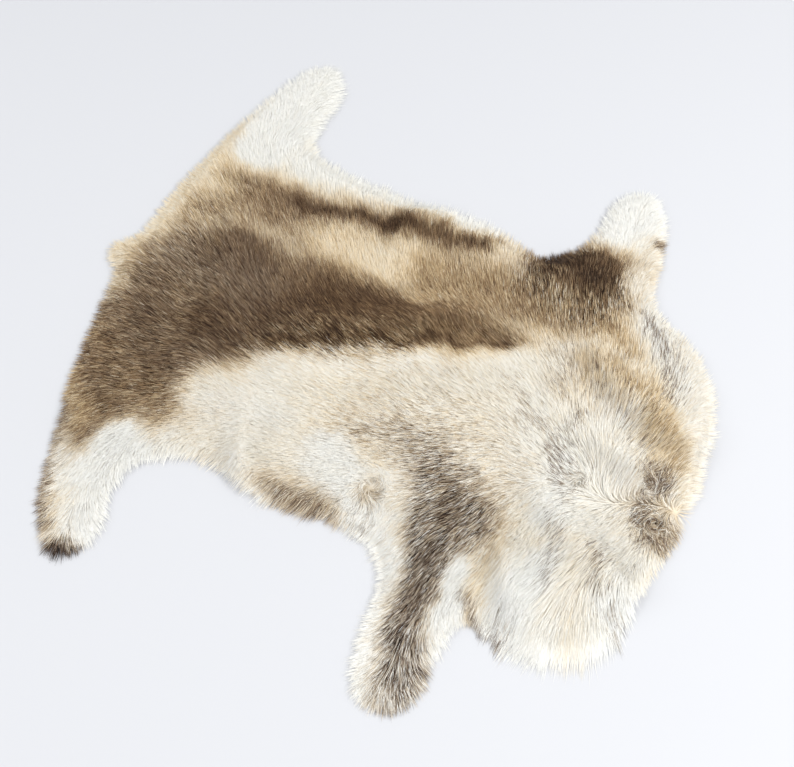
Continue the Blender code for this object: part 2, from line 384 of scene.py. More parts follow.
# ---------------------------------------------------------------------------------------------
# The underwool. Fine dense wool covers the skin to under half the depth of the coat, in soft
# lumps. It is the ground between the hairs: the coat's colours, darkened as painted shade.
# ---------------------------------------------------------------------------------------------
BODY_PILE = 0.023
RIM_SHARE = 0.36  # of the pile's depth, at the very edge
RIM_LEAST = 0.007
RIM_ROUNDING = 0.034  # over this much of the edge the pile is rounded down
LUMP = 0.0020
LUMP_WAVE = 0.042
TUFT = 0.0008
TUFT_WAVE = 0.019
PAST_EDGE = 0.030  # over which hair that has left the edge sinks to the floor
FLOOR_GAP = 0.001
WOOL_SHARE = 0.46  # of the pile's depth
WOOL_LUMP = 0.0012
WOOL_LUMP_WAVE = 0.009
WOOL_STEP = 0.0075
WOOL_UNDER_STEP = 0.020
WOOL_PAST_SKIN = 0.003
WOOL_OFF_SKIN = 0.0003
# painted shade: the wool is painted darker than the hair, as the shade deep between the hairs
WOOL_PAINTED_SHADE = 0.06
WOOL_SHADES = (0.05, 0.95)

Pile = namedtuple("Pile", "name x y half_x half_y depth")
PILES = (
    Pile("rump", -0.53, 0.04, 0.09, 0.26, 0.028),
    Pile("neck", 0.52, 0.05, 0.14, 0.26, 0.034),
    Pile("mane", 0.48, -0.30, 0.16, 0.10, 0.040),
    Pile("near belly", -0.08, -0.31, 0.26, 0.06, 0.027),
    Pile("far belly", -0.06, 0.35, 0.32, 0.06, 0.029),
    Pile("near foreleg", 0.24, -0.53, 0.10, 0.11, 0.012),
    Pile("far foreleg", 0.32, 0.52, 0.10, 0.11, 0.012),
    Pile("near hind leg", -0.46, -0.52, 0.11, 0.12, 0.013),
    Pile("far hind leg", -0.46, 0.52, 0.11, 0.12, 0.013),
)


def pile_depth():
    """The depth of the pile over the skin, rounded down at the edge and sinking away outside it."""
    depth = np.full(X.shape, BODY_PILE)
    for pile in PILES:
        far = np.hypot((X - pile.x) / pile.half_x, (Y - pile.y) / pile.half_y)
        depth += (pile.depth - BODY_PILE) * np.exp(-(far**4))
    bumps = LUMP * ripple(LUMP_WAVE) + TUFT * ripple(TUFT_WAVE)
    depth += bumps * depth / BODY_PILE
    at_edge = np.maximum(RIM_LEAST, RIM_SHARE * depth)
    share = np.clip(inside / RIM_ROUNDING, 0, 1)
    rounded = at_edge + (depth - at_edge) * np.sqrt(1 - (1 - share) ** 2)
    return rounded * np.exp(np.minimum(inside, 0) / PAST_EDGE)


pile = pile_depth()
ground = (lift + SKIN) * np.exp(np.minimum(inside, 0) / PAST_EDGE)

# The coat's markings, painted one over another: shade runs from 0, black, to 1, white, and
# warmth from 0, grey, to 1, tan. A stroke goes from one place to another, with a soft edge.
# A few strokes also carry painted shade or painted light, as noted at each.
Stroke = namedtuple("Stroke", "name x0 y0 x1 y1 width end_width soft shade warmth strength")
STROKES = (
    Stroke("rump", -0.542, -0.208, -0.366, 0.005, 0.130, 0.126, 0.025, 0.26, 0.66, 1.00),
    Stroke("loin", -0.369, 0.029, -0.159, 0.086, 0.134, 0.080, 0.029, 0.26, 0.76, 1.00),
    Stroke("back", -0.159, 0.086, 0.054, 0.135, 0.080, 0.040, 0.025, 0.19, 0.95, 1.00),
    Stroke("withers", 0.054, 0.135, 0.220, 0.174, 0.036, 0.010, 0.017, 0.29, 0.95, 1.00),
    Stroke("near hip", -0.414, -0.253, -0.477, -0.342, 0.071, 0.055, 0.025, 0.29, 0.80, 0.90),
    Stroke("far rump shade", -0.561, 0.012, -0.500, 0.099, 0.050, 0.029, 0.029, 0.09, 0.60, 0.90),
    Stroke("loin shade", -0.370, -0.061, -0.221, 0.027, 0.055, 0.034, 0.029, 0.17, 0.80, 0.70),
    Stroke("rump grey", -0.486, 0.047, -0.349, 0.054, 0.050, 0.055, 0.042, 0.31, 0.35, 0.60),
    Stroke("rump tan", -0.583, -0.173, -0.478, -0.228, 0.029, 0.025, 0.034, 0.38, 0.95, 0.70),
    Stroke("under the crease", -0.189, -0.038, 0.180, 0.124, 0.013, 0.015, 0.019, 0.60, 1.00, 0.85),
    # The near side stroke is partly the coat's pale cream, partly painted light on a slope turned
    # from the lamp
    Stroke("near side", -0.100, -0.083, 0.220, 0.030, 0.055, 0.055, 0.055, 1.00, 0.74, 0.90),
    # The crease strokes are partly the reddish-brown hair along the back crease, partly painted
    # shade in its valley
    Stroke("crease", -0.236, -0.043, -0.118, 0.024, 0.015, 0.013, 0.010, 0.09, 1.00, 0.95),
    Stroke("crease middle", -0.118, 0.024, 0.044, 0.083, 0.013, 0.013, 0.010, 0.11, 1.00, 0.95),
    Stroke("crease ahead", 0.044, 0.083, 0.197, 0.156, 0.013, 0.008, 0.010, 0.12, 1.00, 0.90),
    Stroke("rump cap", -0.654, 0.043, -0.568, 0.308, 0.073, 0.105, 0.063, 0.82, 0.85, 1.00),
    Stroke("far rump tan", -0.510, 0.164, -0.408, 0.222, 0.034, 0.046, 0.034, 0.38, 0.85, 0.90),
    Stroke("far band", -0.410, 0.226, -0.224, 0.196, 0.042, 0.038, 0.029, 0.38, 0.80, 0.90),
    Stroke("far band core", -0.306, 0.216, -0.178, 0.201, 0.015, 0.021, 0.025, 0.62, 0.72, 0.85),
    Stroke("far side", -0.228, 0.204, -0.022, 0.227, 0.042, 0.050, 0.025, 0.80, 0.86, 0.90),
    Stroke("far side ahead", -0.010, 0.222, 0.215, 0.276, 0.055, 0.046, 0.029, 0.42, 0.98, 0.90),
    Stroke("below the shoulder", 0.090, 0.179, 0.314, 0.276, 0.021, 0.034, 0.025, 0.34, 0.92, 0.85),
    Stroke("far stripe", -0.504, 0.260, -0.341, 0.267, 0.010, 0.021, 0.025, 0.22, 0.80, 0.80),
    Stroke("far stripe ahead", -0.341, 0.267, -0.133, 0.299, 0.021, 0.023, 0.019, 0.13, 0.85, 1.00),
    Stroke("far stripe end", -0.133, 0.299, 0.058, 0.333, 0.025, 0.023, 0.021, 0.11, 0.90, 0.95),
    Stroke("far groin", -0.475, 0.351, -0.443, 0.580, 0.055, 0.071, 0.010, 0.99, 0.12, 1.00),
    Stroke("far belly", -0.385, 0.354, 0.109, 0.393, 0.032, 0.027, 0.013, 0.98, 0.22, 1.00),
    Stroke("far shoulder", 0.214, 0.358, 0.305, 0.353, 0.063, 0.065, 0.046, 0.00, 0.85, 1.00),
    Stroke("far shoulder front", 0.306, 0.349, 0.394, 0.349, 0.052, 0.029, 0.042, 0.07, 0.85, 1.00),
    Stroke("shoulder fringe", 0.253, 0.263, 0.387, 0.310, 0.029, 0.021, 0.029, 0.42, 0.90, 0.70),
    Stroke("far foreleg", 0.291, 0.489, 0.318, 0.571, 0.046, 0.067, 0.013, 0.98, 0.12, 1.00),
    Stroke("far foreleg spot", 0.368, 0.503, 0.368, 0.487, 0.008, 0.008, 0.006, 0.22, 0.40, 1.00),
    Stroke("golden patch", 0.353, 0.264, 0.431, 0.221, 0.023, 0.019, 0.019, 0.46, 1.00, 0.90),
    Stroke("neck far", 0.428, 0.329, 0.551, 0.185, 0.032, 0.025, 0.019, 0.92, 0.20, 0.95),
    Stroke("neck brown", 0.354, 0.175, 0.450, 0.138, 0.029, 0.029, 0.029, 0.56, 0.85, 0.85),
    Stroke("neck tan", 0.450, 0.138, 0.531, 0.080, 0.029, 0.032, 0.025, 0.58, 0.98, 0.90),
    Stroke("neck tan end", 0.531, 0.080, 0.568, 0.028, 0.029, 0.025, 0.021, 0.60, 1.00, 0.90),
    Stroke("whorl", 0.555, -0.015, 0.568, -0.022, 0.019, 0.017, 0.017, 0.42, 0.25, 0.85),
    Stroke("whorl end", 0.588, -0.078, 0.603, -0.087, 0.019, 0.017, 0.017, 0.44, 0.50, 0.85),
    Stroke("neck fringe", 0.621, -0.070, 0.631, -0.052, 0.017, 0.013, 0.013, 0.54, 0.50, 0.80),
    Stroke("throat rim", 0.381, 0.384, 0.534, 0.323, 0.034, 0.046, 0.017, 0.88, 0.40, 1.00),
    # The neck middle stroke is partly the coat's pale cream, partly painted light in a valley
    # turned from the lamp
    Stroke("neck middle", 0.317, 0.004, 0.435, -0.052, 0.038, 0.038, 0.029, 1.00, 0.50, 1.00),
    Stroke("throat of the V", 0.457, -0.092, 0.543, -0.142, 0.034, 0.038, 0.021, 0.92, 0.40, 0.90),
    Stroke("V white", 0.410, -0.046, 0.420, -0.143, 0.025, 0.025, 0.017, 0.96, 0.20, 0.90),
    Stroke("neck rim", 0.533, 0.348, 0.645, 0.041, 0.059, 0.048, 0.019, 0.85, 0.32, 1.00),
    Stroke("below the whorls", 0.591, -0.163, 0.572, -0.258, 0.029, 0.029, 0.021, 0.94, 0.30, 0.90),
    Stroke("mane streak", 0.442, -0.166, 0.445, -0.263, 0.008, 0.008, 0.010, 0.68, 0.15, 0.80),
    Stroke("mane brown", 0.417, -0.205, 0.410, -0.238, 0.010, 0.010, 0.010, 0.50, 0.90, 0.80),
    Stroke("mane white", 0.438, -0.226, 0.411, -0.375, 0.034, 0.057, 0.019, 0.99, 0.06, 1.00),
    Stroke("mane white end", 0.514, -0.390, 0.570, -0.272, 0.063, 0.063, 0.019, 0.99, 0.06, 1.00),
    Stroke("mane rim", 0.363, -0.423, 0.464, -0.442, 0.029, 0.029, 0.017, 0.97, 0.10, 0.90),
    Stroke("mane tan", 0.516, -0.258, 0.524, -0.327, 0.015, 0.015, 0.015, 0.84, 0.75, 0.80),
    Stroke("mane tuft", 0.408, -0.406, 0.420, -0.367, 0.013, 0.008, 0.010, 0.14, 0.10, 0.90),
    Stroke("breast tan", 0.316, -0.192, 0.358, -0.326, 0.017, 0.019, 0.021, 0.76, 0.85, 0.80),
    Stroke("brisket", 0.334, -0.373, 0.386, -0.400, 0.017, 0.015, 0.013, 0.42, 0.50, 0.80),
    Stroke("elbow top", -0.027, -0.142, 0.146, -0.113, 0.017, 0.038, 0.050, 0.56, 0.60, 0.80),
    Stroke("elbow", 0.179, -0.149, 0.251, -0.197, 0.036, 0.050, 0.038, 0.33, 0.48, 1.00),
    Stroke("elbow low", 0.234, -0.219, 0.235, -0.329, 0.055, 0.036, 0.034, 0.24, 0.40, 1.00),
    Stroke("near foreleg", 0.236, -0.320, 0.250, -0.467, 0.036, 0.034, 0.019, 0.24, 0.26, 1.00),
    Stroke("near foreleg low", 0.250, -0.467, 0.268, -0.586, 0.034, 0.036, 0.019, 0.28, 0.20, 0.95),
    Stroke("leg white behind", 0.160, -0.364, 0.209, -0.602, 0.027, 0.027, 0.017, 0.98, 0.10, 0.95),
    Stroke("leg white before", 0.294, -0.293, 0.325, -0.560, 0.025, 0.015, 0.008, 1.00, 0.08, 1.00),
    Stroke("leg white end", 0.256, -0.612, 0.254, -0.564, 0.010, 0.008, 0.017, 0.90, 0.12, 0.80),
    Stroke("armpit", -0.025, -0.214, 0.147, -0.337, 0.055, 0.046, 0.019, 0.94, 0.14, 1.00),
    # The armpit whorl stroke is partly the whorl's tan centre, partly painted shade over its bare,
    # lamp-lit middle
    Stroke("armpit whorl", 0.061, -0.243, 0.069, -0.246, 0.010, 0.008, 0.010, 0.50, 0.55, 0.90),
    Stroke("hip patch", -0.114, -0.308, -0.001, -0.319, 0.025, 0.034, 0.017, 0.44, 0.42, 0.95),
    Stroke("hip patch end", -0.001, -0.319, 0.043, -0.339, 0.029, 0.017, 0.017, 0.44, 0.45, 0.90),
    Stroke("near belly", -0.372, -0.369, -0.111, -0.348, 0.040, 0.036, 0.010, 0.99, 0.10, 1.00),
    Stroke("near groin", -0.403, -0.378, -0.378, -0.575, 0.067, 0.055, 0.017, 0.99, 0.08, 1.00),
    Stroke("orange hip", -0.580, -0.275, -0.522, -0.328, 0.029, 0.029, 0.017, 0.52, 1.00, 0.90),
    Stroke("hind leg edge", -0.570, -0.338, -0.482, -0.557, 0.019, 0.017, 0.013, 0.28, 0.40, 1.00),
    Stroke("hind leg tip", -0.433, -0.588, -0.407, -0.587, 0.025, 0.023, 0.008, 0.05, 0.20, 1.00),
)
CREAM = 0.90
CREAM_WARMTH = 0.48
PAINT_WANDER = 0.016
PAINT_WAVE = 0.06
FINE_WANDER = 0.5 * PAINT_WANDER
FINE_PAINT_WAVE = 0.4 * PAINT_WAVE

Cloud = namedtuple("Cloud", "size wave at")
CREAM_CLOUDS = (Cloud(0.08, 0.11, 3.5), Cloud(0.05, 0.03, 4.5))
WARMTH_CLOUDS = (Cloud(0.35, 0.09, 6.5),)
COAT_CLOUDS = (Cloud(0.11, 0.09, 10.5), Cloud(0.05, 0.022, 11.5))
UNCLOUDED = 1.2  # the darker the coat is than this, the cloudier, up to a limit
CLOUDIEST = 0.6


def stroke_mask(stroke, x, y):
    """How strongly the stroke or streak covers each place."""
    share, off = beside(x, y, stroke.x0, stroke.y0, stroke.x1, stroke.y1)
    reach = stroke.width + (stroke.end_width - stroke.width) * share
    return stroke.strength / (1 + np.exp((off - reach) / (0.5 * stroke.soft)))


def clouded(clouds):
    """Soft clouds of several sizes over the hide."""
    return sum(cloud.size * ripple(cloud.wave, cloud.at) for cloud in clouds)


def painted():
    """The coat's shade and warmth over the hide."""
    x = X + PAINT_WANDER * ripple(PAINT_WAVE, 1.5) + FINE_WANDER * ripple(FINE_PAINT_WAVE, 1.2)
    y = Y + PAINT_WANDER * ripple(PAINT_WAVE, 2.5) + FINE_WANDER * ripple(FINE_PAINT_WAVE, 2.2)
    shade = CREAM + clouded(CREAM_CLOUDS)
    warmth = CREAM_WARMTH + clouded(WARMTH_CLOUDS)
    for stroke in STROKES:
        mask = stroke_mask(stroke, x, y)
        shade += (stroke.shade - shade) * mask
        warmth += (stroke.warmth - warmth) * mask
    shade += np.clip(UNCLOUDED - shade, 0, CLOUDIEST) * clouded(COAT_CLOUDS)
    return shade, warmth


shade, warmth = painted()


def srgb(*values):
    """A colour from its red, green and blue, each from 11 to 255, as linear numbers."""
    return (*(((value / 255 + 0.055) / 1.055) ** 2.4 for value in values), 1.0)


# Along each row: how pale the hair is, its colour on tan hair and its colour on grey hair
HAIR_COLOURS = (
    (0.00, srgb(28, 20, 13), srgb(25, 22, 20)),
    (0.15, srgb(78, 56, 37), srgb(77, 63, 54)),
    (0.30, srgb(127, 100, 71), srgb(125, 109, 96)),
    (0.45, srgb(168, 139, 101), srgb(158, 147, 132)),
    (0.60, srgb(212, 187, 144), srgb(198, 189, 173)),
    (0.75, srgb(237, 219, 183), srgb(225, 219, 209)),
    (0.90, srgb(243, 234, 213), srgb(238, 237, 231)),
    (1.00, srgb(244, 240, 230), srgb(241, 242, 239)),
)
WOOL_ROUGHNESS = 0.75
HAIR_ROUGHNESS = 0.58
PALE_ROUGHER = 0.15
HAIR_SHEEN = 0.12


def hair_finish(name, roughness):
    """Hair: its colour comes from the shade and warmth that each vertex holds."""
    finish = Finish(name)
    pale = finish.add("ShaderNodeAttribute", {"attribute_name": "shade"}, output="Fac")
    warm = finish.add("ShaderNodeAttribute", {"attribute_name": "warmth"}, output="Fac")
    tan_stops = [(at, tan) for at, tan, _ in HAIR_COLOURS]
    grey_stops = [(at, grey) for at, _, grey in HAIR_COLOURS]
    tan = finish.add("ShaderNodeValToRGB", {"stops": tan_stops}, {"Fac": pale})
    grey = finish.add("ShaderNodeValToRGB", {"stops": grey_stops}, {"Fac": pale})
    mixed = {0: warm, 6: grey, 7: tan}  # its factor and its two colours, by their places
    colour = finish.add("ShaderNodeMix", {"data_type": "RGBA"}, mixed, output=2)
    rough = roughness + PALE_ROUGHER * pale
    finish.shine(Base_Color=colour, Roughness=rough, Specular_IOR_Level=HAIR_SHEEN)
    return finish.material


def hold(made, name, values):
    """Keeps a number at each vertex of the mesh."""
    attribute = made.data.attributes.new(name, "FLOAT", "POINT")
    attribute.data.foreach_set("value", np.ascontiguousarray(values, np.float32))


def places_of(made):
    """The mesh's vertex places, a row for each."""
    flat = np.empty(len(made.data.vertices) * 3, np.float32)
    made.data.vertices.foreach_get("co", flat)
    return flat.reshape(-1, 3)


wool_edge = CUT_INSIDE - WOOL_PAST_SKIN
wool_top = ground + WOOL_SHARE * pile + WOOL_LUMP * ripple(WOOL_LUMP_WAVE, 7.5)
wool_under = lift + SKIN + WOOL_OFF_SKIN
underwool = layer("underwool", wool_edge, WOOL_STEP, WOOL_UNDER_STEP, wool_top, wool_under)
wool_x, wool_y, _ = places_of(underwool).T
# The wool's shade is the coat's, lowered by the painted shade between the hairs
hold(underwool, "shade", np.clip(read(shade, wool_x, wool_y) - WOOL_PAINTED_SHADE, *WOOL_SHADES))
hold(underwool, "warmth", read(warmth, wool_x, wool_y))
underwool.data.materials.append(hair_finish("wool", WOOL_ROUGHNESS))
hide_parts("hide")
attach(underwool, "root")

# ---------------------------------------------------------------------------------------------
# The coat. Hollow guard hairs lie over each other from the neck to the tail and down to the
# belly and the legs, in small tufts, short on the legs and long at the neck, mane and belly.
# Each hair is a thin tapered blade, and each region of the coat is one piece.
# ---------------------------------------------------------------------------------------------
Lie = namedtuple("Lie", "name x y heading")
LIES = (
    Lie("tail", -0.630, 0.020, 175),
    Lie("rump near", -0.560, -0.150, 196),
    Lie("rump middle", -0.540, 0.020, 172),
    Lie("rump far", -0.580, 0.160, 152),
    Lie("hip far", -0.480, 0.170, 142),
    Lie("loin far", -0.380, 0.165, 130),
    Lie("loin middle", -0.360, 0.010, 160),
    Lie("loin near", -0.320, -0.130, 182),
    Lie("hip near", -0.430, -0.230, 212),
    Lie("hind leg near root", -0.480, -0.360, 248),
    Lie("hind leg near", -0.470, -0.460, 262),
    Lie("hind leg near end", -0.435, -0.600, 284),
    Lie("flank near low", -0.250, -0.280, 215),
    Lie("belly near", -0.130, -0.320, 226),
    Lie("flank near", -0.130, -0.180, 192),
    Lie("side near", -0.045, -0.108, 186),
    Lie("crease behind", -0.200, -0.030, 178),
    Lie("crease middle", -0.017, 0.071, 176),
    Lie("crease front", 0.172, 0.142, 168),
    Lie("back behind", -0.267, 0.080, 145),
    Lie("back middle", -0.234, 0.173, 130),
    Lie("back front", 0.044, 0.160, 152),
    Lie("side far", -0.018, 0.260, 128),
    Lie("flank far", -0.200, 0.290, 126),
    Lie("belly far", -0.090, 0.370, 112),
    Lie("groin far", -0.400, 0.330, 128),
    Lie("rump corner far", -0.540, 0.310, 132),
    Lie("hind leg far", -0.480, 0.450, 98),
    Lie("hind leg far end", -0.440, 0.600, 78),
    Lie("shoulder far behind", 0.145, 0.282, 126),
    Lie("shoulder far", 0.275, 0.301, 113),
    Lie("foreleg far root", 0.310, 0.400, 100),
    Lie("foreleg far", 0.320, 0.500, 92),
    Lie("foreleg far end", 0.320, 0.600, 86),
    Lie("throat far", 0.401, 0.350, 128),
    Lie("neck far streak", 0.430, 0.285, 112),
    Lie("neck far corner", 0.490, 0.290, 124),
    Lie("neck far end", 0.505, 0.230, 95),
    Lie("neck end", 0.535, 0.155, 76),
    Lie("neck rim", 0.600, 0.120, 60),
    Lie("neck above the whorls", 0.505, 0.070, 67),
    Lie("neck by the parting", 0.500, 0.000, 76),
    Lie("neck middle", 0.431, 0.117, 98),
    Lie("neck fan right", 0.361, 0.152, 114),
    Lie("neck fan", 0.377, 0.049, 112),
    Lie("neck fan left", 0.300, 0.120, 142),
    Lie("neck fan low", 0.330, 0.010, 152),
    Lie("withers", 0.250, 0.070, 168),
    Lie("V left", 0.370, -0.030, 150),
    Lie("shoulder front", 0.310, -0.070, 184),
    Lie("near side front", 0.042, -0.057, 181),
    Lie("elbow top left", 0.102, -0.120, 214),
    Lie("elbow top", 0.157, -0.094, 211),
    Lie("elbow middle", 0.182, -0.175, 232),
    Lie("elbow", 0.227, -0.204, 239),
    Lie("foreleg near root", 0.215, -0.312, 254),
    Lie("foreleg near root front", 0.268, -0.281, 262),
    Lie("elbow right", 0.244, -0.123, 230),
    Lie("breast low", 0.313, -0.209, 252),
    Lie("foreleg near", 0.234, -0.407, 268),
    Lie("foreleg near middle", 0.246, -0.494, 275),
    Lie("breast", 0.370, -0.140, 238),
    Lie("below the whorls", 0.560, -0.120, 248),
    Lie("throat near", 0.532, -0.191, 242),
    Lie("mane top", 0.405, -0.197, 255),
    Lie("mane", 0.400, -0.302, 255),
    Lie("mane low", 0.483, -0.370, 250),
    Lie("mane end", 0.540, -0.290, 280),
    Lie("brisket", 0.350, -0.284, 264),
    Lie("foreleg near end", 0.255, -0.600, 274),
    Lie("armpit behind", -0.010, -0.230, 205),
    Lie("armpit front", 0.140, -0.270, 240),
    Lie("hip patch", -0.030, -0.325, 212),
)
LIE_CORE = 0.020
LIE_FALL = 1.6  # how fast a heading's pull falls with distance
LIE_CLOUDS = (Cloud(12, 0.11, 8.5), Cloud(10, 0.040, 9.5))  # in degrees

Whorl = namedtuple("Whorl", "name x y reach turn tangle")
WHORLS = (
    Whorl("armpit", 0.067, -0.242, 0.046, 70, 30),
    Whorl("neck", 0.556, -0.020, 0.022, 100, 90),
    Whorl("neck end", 0.590, -0.085, 0.024, 52, 60),
    Whorl("V", 0.430, -0.062, 0.016, 60, 45),
)
RIM_TURN = 0.020  # over this much of the edge the hair turns outwards
RIM_PULL = 1.7
TANGLE = 5.0  # in degrees


def hair_lie():
    """The way the hair lies, as the two parts of a direction over the hide."""
    along, across = np.zeros(X.shape), np.zeros(X.shape)
    for lie in LIES:
        pull = ((X - lie.x) ** 2 + (Y - lie.y) ** 2 + LIE_CORE**2) ** -LIE_FALL
        along += pull * math.cos(math.radians(lie.heading))
        across += pull * math.sin(math.radians(lie.heading))
    heading = np.arctan2(across, along)
    heading += np.radians(clouded(LIE_CLOUDS))
    along, across = np.cos(heading), np.sin(heading)
    out_x, out_y = np.gradient(-inside, NET)
    out_size = np.hypot(out_x, out_y) + TINY
    turn = RIM_PULL * np.exp(-np.maximum(inside, 0) / RIM_TURN)
    along += turn * out_x / out_size
    across += turn * out_y / out_size
    for whorl in WHORLS:
        far = np.hypot(X - whorl.x, Y - whorl.y)
        spin = np.arctan2(Y - whorl.y, X - whorl.x) + math.radians(whorl.turn)
        mask = np.exp(-((far / whorl.reach) ** 2))
        along += (np.cos(spin) - along) * mask
        across += (np.sin(spin) - across) * mask
    size = np.hypot(along, across) + TINY
    return along / size, across / size


def tangled():
    """How much neighbouring tufts differ in direction, in radians."""
    spread = np.full(X.shape, math.radians(TANGLE))
    for whorl in WHORLS:
        far = np.hypot(X - whorl.x, Y - whorl.y)
        spread += math.radians(whorl.tangle) * np.exp(-((far / whorl.reach) ** 2))
    return spread


lie_x, lie_y = hair_lie()
tangle = tangled()

# Where hair is longer or shorter than on the body, and more or less of one colour
BODY_HAIR = 0.022
BODY_TUFTING = 0.20
BODY_CONTRAST = 0.60
Cut = namedtuple("Cut", "name x y half_x half_y length tufting contrast")
CUTS = (
    Cut("rump", -0.55, 0.02, 0.10, 0.28, 0.032, 0.30, 0.90),
    Cut("hip", -0.42, -0.16, 0.14, 0.20, 0.024, 0.20, 0.90),
    Cut("near side", 0.06, -0.06, 0.30, 0.12, 0.024, 0.20, 2.8),
    Cut("far shoulder", 0.27, 0.33, 0.13, 0.09, 0.028, 0.25, 1.8),
    Cut("neck", 0.50, 0.06, 0.15, 0.28, 0.040, 0.38, 1.0),
    Cut("mane", 0.48, -0.31, 0.15, 0.10, 0.088, 0.52, 1.0),
    Cut("near belly", -0.10, -0.34, 0.28, 0.05, 0.044, 0.38, 1.0),
    Cut("far belly", -0.08, 0.38, 0.32, 0.05, 0.044, 0.40, 0.8),
    Cut("elbow", 0.21, -0.24, 0.12, 0.14, 0.038, 0.28, 2.2),
    Cut("armpit", 0.10, -0.28, 0.07, 0.07, 0.042, 0.40, 1.5),
    Cut("near foreleg", 0.25, -0.50, 0.11, 0.13, 0.038, 0.28, 1.9),
    Cut("far foreleg", 0.32, 0.53, 0.11, 0.13, 0.030, 0.28, 0.8),
    Cut("near hind leg", -0.45, -0.52, 0.12, 0.13, 0.036, 0.32, 1.2),
    Cut("far hind leg", -0.45, 0.52, 0.12, 0.13, 0.034, 0.32, 0.8),
    Cut("whorls", 0.575, -0.055, 0.035, 0.055, 0.034, 0.55, 2.0),
)


def cut_fields():
    """The hair's length, how far it draws together in tufts, and how much its colours differ."""
    length, tufting = np.full(X.shape, BODY_HAIR), np.full(X.shape, BODY_TUFTING)
    contrast = np.full(X.shape, BODY_CONTRAST)
    for cut in CUTS:
        far = np.hypot((X - cut.x) / cut.half_x, (Y - cut.y) / cut.half_y)
        mask = np.exp(-(far**4))
        length += (cut.length - length) * mask
        tufting += (cut.tufting - tufting) * mask
        contrast += (cut.contrast - contrast) * mask
    return length, tufting, contrast


hair_length, tufting, contrast = cut_fields()

# Black-tipped hairs stand in streaks, most of them on the neck
Streak = namedtuple("Streak", "name x0 y0 x1 y1 width end_width soft strength")
GRIZZLES = (
    Streak("far neck streak", 0.432, 0.310, 0.500, 0.225, 0.011, 0.016, 0.016, 0.60),
    Streak("far neck streak end", 0.500, 0.225, 0.520, 0.150, 0.016, 0.010, 0.016, 0.60),
    Streak("neck fan", 0.300, 0.165, 0.345, 0.100, 0.018, 0.020, 0.024, 0.42),
    Streak("neck brown", 0.370, 0.155, 0.450, 0.110, 0.030, 0.030, 0.030, 0.20),
    Streak("neck tan", 0.480, 0.100, 0.510, 0.010, 0.024, 0.024, 0.024, 0.18),
    Streak("V left", 0.240, 0.070, 0.385, -0.020, 0.012, 0.016, 0.022, 0.42),
    Streak("V low", 0.372, -0.020, 0.430, -0.075, 0.015, 0.016, 0.018, 0.58),
    Streak("V spot", 0.388, 0.050, 0.386, 0.015, 0.006, 0.006, 0.012, 0.60),
    Streak("mane streak", 0.425, -0.150, 0.455, -0.230, 0.011, 0.009, 0.014, 0.45),
    Streak("throat streak", 0.515, -0.170, 0.545, -0.205, 0.012, 0.012, 0.016, 0.36),
    Streak("throat streak end", 0.565, -0.245, 0.575, -0.265, 0.009, 0.009, 0.012, 0.40),
    Streak("whorl", 0.545, -0.010, 0.575, -0.030, 0.016, 0.016, 0.012, 0.68),
    Streak("whorl end", 0.575, -0.070, 0.600, -0.095, 0.016, 0.016, 0.012, 0.68),
    Streak("mane tuft", 0.395, -0.385, 0.415, -0.345, 0.016, 0.014, 0.014, 0.85),
    Streak("brisket", 0.335, -0.340, 0.385, -0.385, 0.016, 0.016, 0.012, 0.60),
    Streak("near side", 0.020, -0.030, 0.260, 0.020, 0.045, 0.060, 0.040, 0.10),
    Streak("armpit whorl", 0.060, -0.250, 0.100, -0.300, 0.006, 0.012, 0.014, 0.30),
)
ELSEWHERE = 0.004  # the share of black-tipped hairs outside the streaks


def grizzled():
    """The share of hairs that have black tips."""
    share = np.full(X.shape, ELSEWHERE)
    for streak in GRIZZLES:
        share = np.maximum(share, stroke_mask(streak, X, Y))
    return share


grizzle = grizzled()

HAIR_APART = 0.00186
HAIR_WIDTH = 0.00088
WIDTHS = (0.9, 1.25)  # the shortest and the longest hairs', as shares of that
HAIR_PAST_SKIN = 0.004
FINE_TUFT = 0.0024
BROAD_TUFT = 0.012
TUFT_OFF = 0.45  # of a tuft's size, by which its middle strays
CELLS = 512  # tufts and grain repeat after this many
STREAK = 0.0012  # the width of a streak of like hairs

# A hair's shape: its level is its height as a share of the pile's depth
STRAY = 6.0  # degrees that single hairs stray from their tuft
DRAWN = (0.6, 1.1)  # how far single hairs are drawn to its middle
DRAWN_LATE = 1.3  # over 1, a hair bends to it near the tip
RISES_EARLY = 0.8  # under 1, a hair rises near the root
ROLL = 0.25
TAPER = 0.75  # of the width, gone before the tip
LEVEL_AT_ROOT = 0.40
LEVEL_AT_TIP = 0.98
SINK = 0.20  # how much lower the lowest tips lie
FINE_LENGTH, BROAD_LENGTH = 0.10, 0.12  # by which tufts differ in length
HAIR_LENGTH = (-0.22, 0.16)  # by which single hairs do
TIP_LEVEL = 1.04
FINE_LEVEL, BROAD_LEVEL, COMBED_LEVEL = 0.05, 0.03, 0.04
LEVEL_STREAK = 0.006  # half the length of a streak of hairs at like levels

# A hair's colour
Mottle = namedtuple("Mottle", "size half_length width seed")
MOTTLES = (Mottle(0.07, 0.004, STREAK, 12), Mottle(0.03, 0.012, 2 * STREAK, 14))
FINE_COLOUR, BROAD_COLOUR = 0.7, 0.45  # how much a tuft's own numbers count for its colour
TUFT_MOTTLE, HAIR_MOTTLE = 0.02, 0.10
MOTTLED_SHADES = (0.08, 0.3, 0.42, 0.6, 0.85, 1.0)
MOTTLED_SHARES = (0.6, 1.4, 1.6, 1.1, 0.7, 0.35)  # how much of the mottle each shade takes
DARKEST, PALEST = 0.03, 0.94
